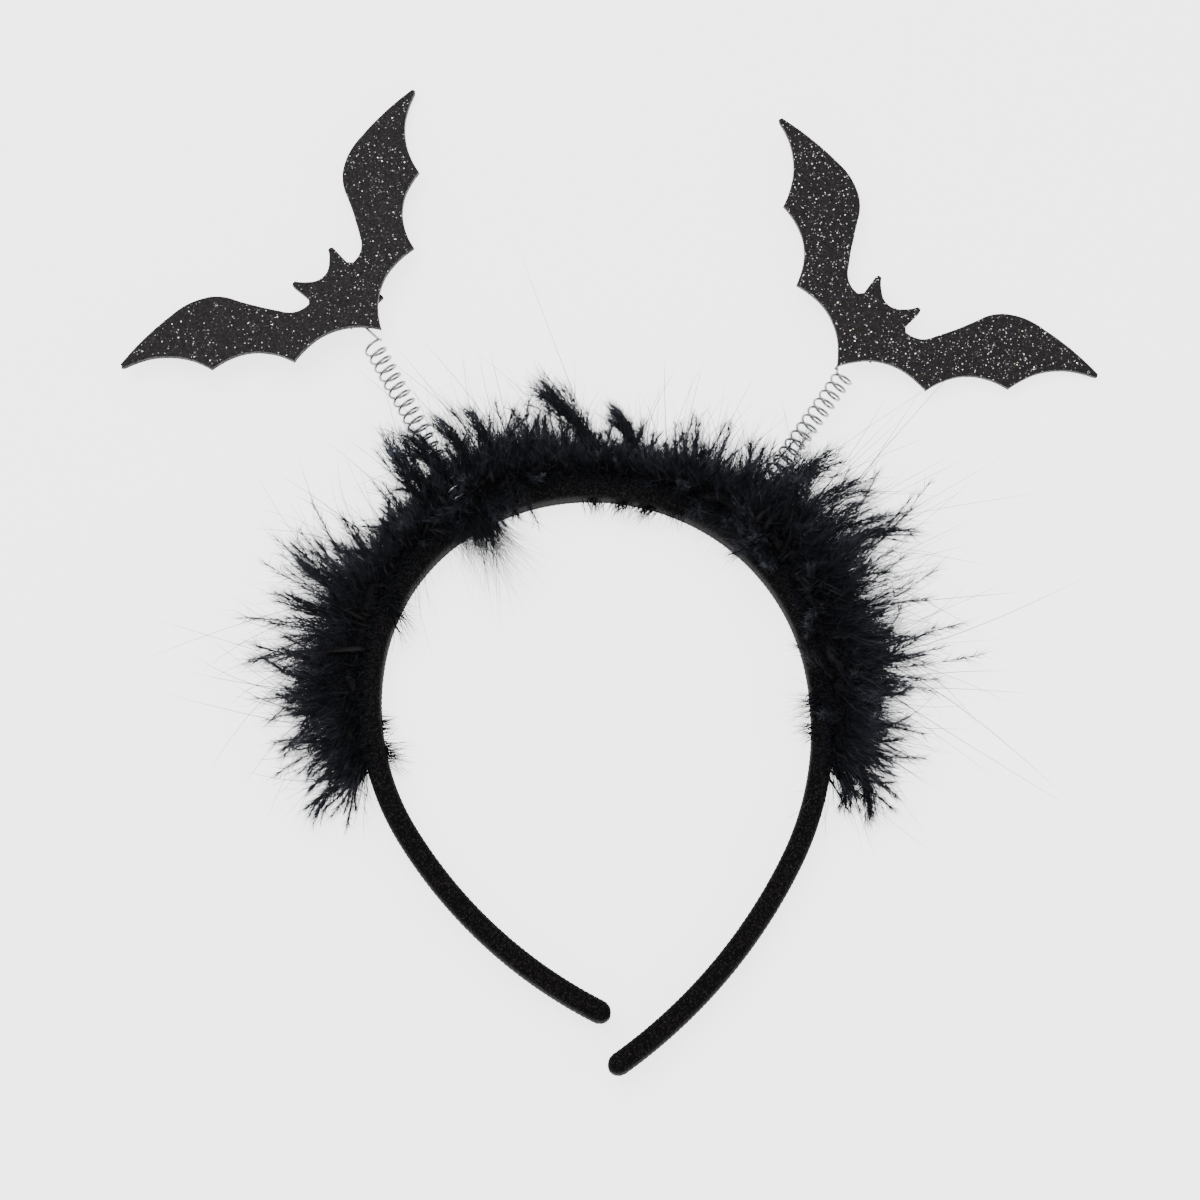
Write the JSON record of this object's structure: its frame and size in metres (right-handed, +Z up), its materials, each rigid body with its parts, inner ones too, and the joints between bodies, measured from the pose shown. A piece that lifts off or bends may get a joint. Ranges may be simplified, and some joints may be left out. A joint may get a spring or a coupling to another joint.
{
  "type": "bat headband",
  "caption": "Knit-covered hair band with a feather trim over its crown and glitter-foam bats on coil springs, lying flat.",
  "frame": {"origin": "under the middle of the outer box, on the surface that the band lies on", "axes": "The band's plane is XY as it lies flat: its crown points along +Y, its two tips along -Y, and +Z is up, along the band's own width."},
  "size_m": [0.257, 0.262, 0.0306],
  "materials": {
    "knit_cover": "ribbed knit",
    "marabou": "downy feathers",
    "spring_wire": "bright wire",
    "glitter_foam": "glitter film on foam",
    "foam_patch": "plain foam"
  },
  "bodies": {
    "band": {"band": "knit_cover", "feather_trim": "marabou", "spring_left": "spring_wire", "spring_right": "spring_wire"},
    "left_bat": {"bat_left": "glitter_foam", "bat_left_patch": "foam_patch"},
    "right_bat": {"bat_right": "glitter_foam", "bat_right_patch": "foam_patch"}
  },
  "joints": [
    {"name": "left_bat_sway", "type": "hinge", "parent": "band", "child": "left_bat", "pos_m": [-0.0506, 0.0379, 0.0106], "axis": [0, 0, 1], "range_deg": [-25, 25], "stiffness_Nm_per_rad": 0.0115, "deforming": ["spring_left"]},
    {"name": "right_bat_sway", "type": "hinge", "parent": "band", "child": "right_bat", "pos_m": [0.048, 0.0324, 0.0068], "axis": [0, 0, 1], "range_deg": [-25, 25], "stiffness_Nm_per_rad": 0.0115, "deforming": ["spring_right"]}
  ]
}
